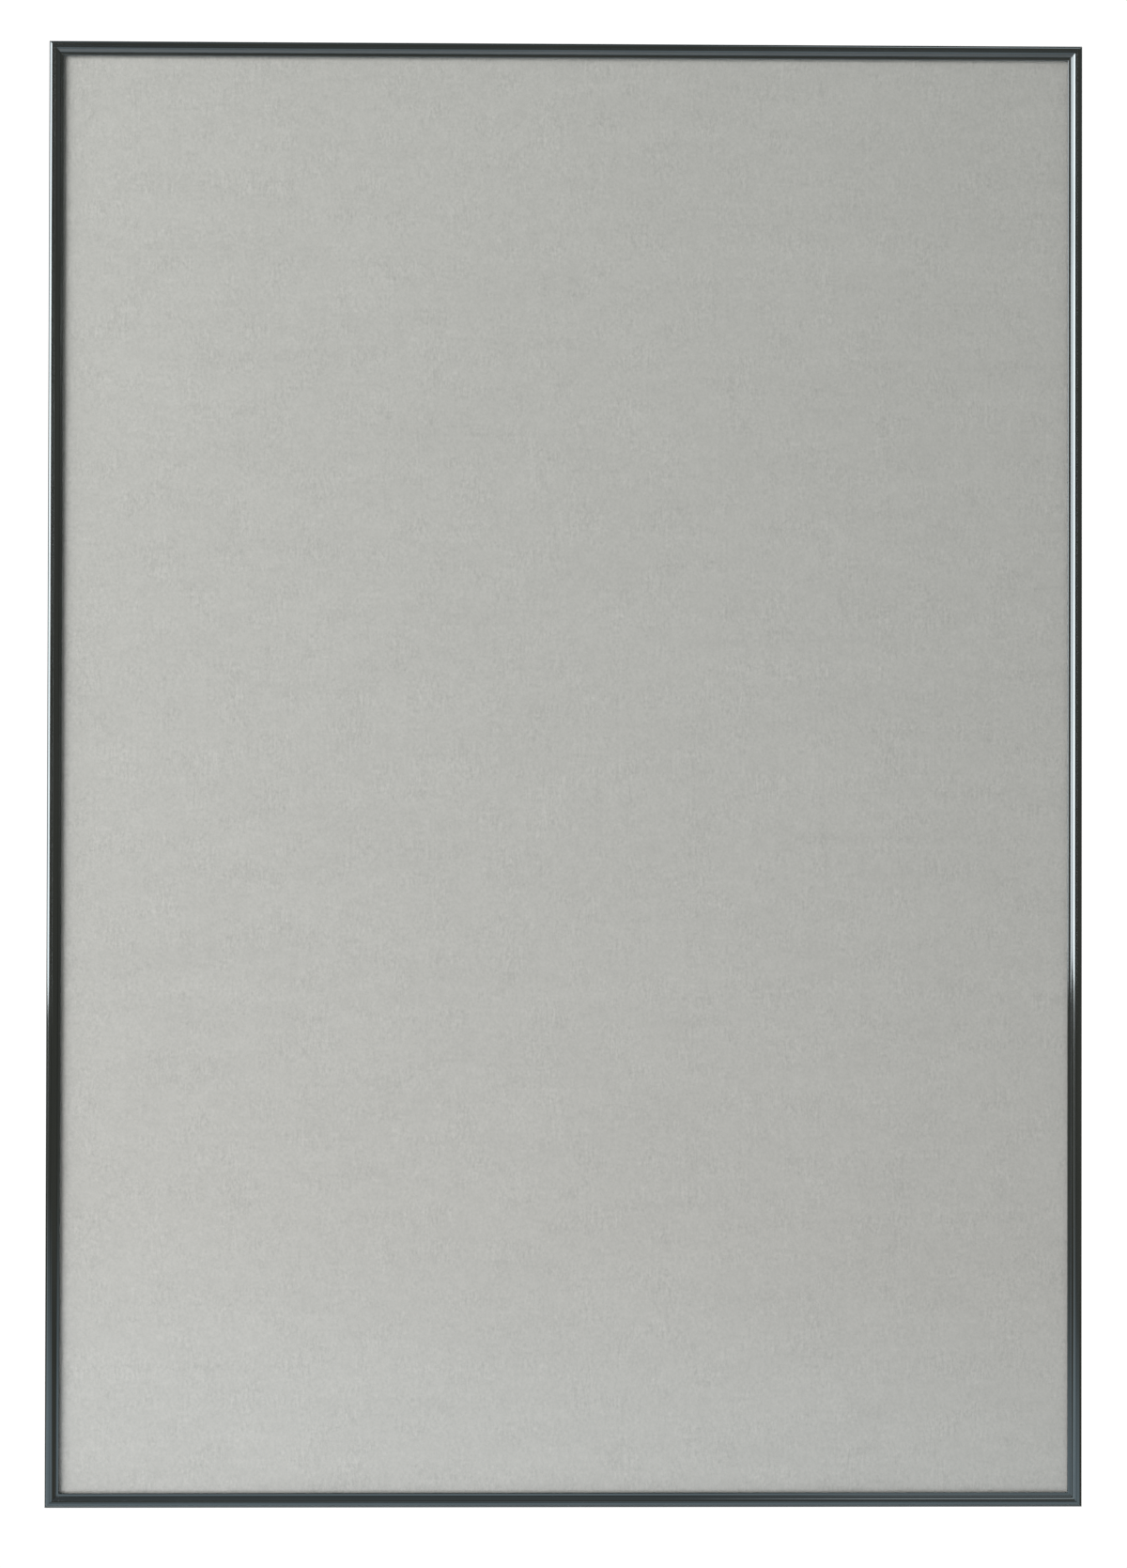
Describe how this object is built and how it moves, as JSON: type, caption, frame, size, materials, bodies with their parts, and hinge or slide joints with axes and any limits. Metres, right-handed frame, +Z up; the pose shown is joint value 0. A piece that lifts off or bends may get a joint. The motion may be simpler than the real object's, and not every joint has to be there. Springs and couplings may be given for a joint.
{
  "type": "poster frame",
  "caption": "Slim upright metal poster frame with mitred moulded rails, a clear sheet over a grey display sheet, a backing board, sliding hangers and a lift-off top rail.",
  "frame": {"origin": "on the wall that the frame hangs against, behind the middle of its outline, in the plane of the wall bumpers' back faces", "axes": "+X to the viewer's right across the frame, +Y from the front into the wall, +Z up"},
  "size_m": [0.597, 0.0238, 0.844],
  "materials": {
    "rail_finish": "gunmetal anodised, glossy",
    "spring_steel": "blued spring steel",
    "zinc_plate": "zinc plated",
    "black_screw": "black oxide",
    "clear_sheet": "clear acrylic, polished",
    "grey_paper": "matt embossed paper",
    "hardboard": "smooth hardboard",
    "bumper_rubber": "matt"
  },
  "bodies": {
    "frame": {"left_rail": "rail_finish", "right_rail": "rail_finish", "bottom_rail": "rail_finish", "bottom_left_tapped_angle": "zinc_plate", "bottom_left_backing_angle": "zinc_plate", "bottom_left_set_screw_across": "black_screw", "bottom_left_set_screw_upright": "black_screw", "bottom_right_tapped_angle": "zinc_plate", "bottom_right_backing_angle": "zinc_plate", "bottom_right_set_screw_across": "black_screw", "bottom_right_set_screw_upright": "black_screw", "bottom_bow_spring_1": "spring_steel", "bottom_bow_spring_2": "spring_steel", "left_bow_spring_1": "spring_steel", "left_bow_spring_2": "spring_steel", "left_bow_spring_3": "spring_steel", "right_bow_spring_1": "spring_steel", "right_bow_spring_2": "spring_steel", "right_bow_spring_3": "spring_steel", "left_wall_bumper": "bumper_rubber", "right_wall_bumper": "bumper_rubber"},
    "lift_off_top": {"top_rail": "rail_finish", "top_left_tapped_angle": "zinc_plate", "top_left_backing_angle": "zinc_plate", "top_left_set_screw_across": "black_screw", "top_left_set_screw_upright": "black_screw", "top_right_tapped_angle": "zinc_plate", "top_right_backing_angle": "zinc_plate", "top_right_set_screw_across": "black_screw", "top_right_set_screw_upright": "black_screw", "top_bow_spring_1": "spring_steel", "top_bow_spring_2": "spring_steel"},
    "sheet_pack": {"clear_sheet": "clear_sheet", "display_sheet": "grey_paper", "backing_board": "hardboard"},
    "left_hanger": {"left_hanger_plate": "zinc_plate", "left_hanger_nut": "zinc_plate", "left_hanger_screw": "zinc_plate"},
    "right_hanger": {"right_hanger_plate": "zinc_plate", "right_hanger_nut": "zinc_plate", "right_hanger_screw": "zinc_plate"}
  },
  "joints": [
    {"name": "top_rail_lift", "type": "slide", "parent": "frame", "child": "lift_off_top", "axis": [0, 0, 1], "range_m": [0, 1]},
    {"name": "sheets_draw_out", "type": "slide", "parent": "frame", "child": "sheet_pack", "axis": [0, 0, 1], "range_m": [0, 0.87]},
    {"name": "left_hanger_slide", "type": "slide", "parent": "frame", "child": "left_hanger", "axis": [0, 0, 1], "range_m": [-0.58, 0.15]},
    {"name": "right_hanger_slide", "type": "slide", "parent": "frame", "child": "right_hanger", "axis": [0, 0, 1], "range_m": [-0.58, 0.15]}
  ],
  "couplings": [
    {"joint": "sheets_draw_out", "follows": "top_rail_lift", "ratio": 0.87}
  ]
}
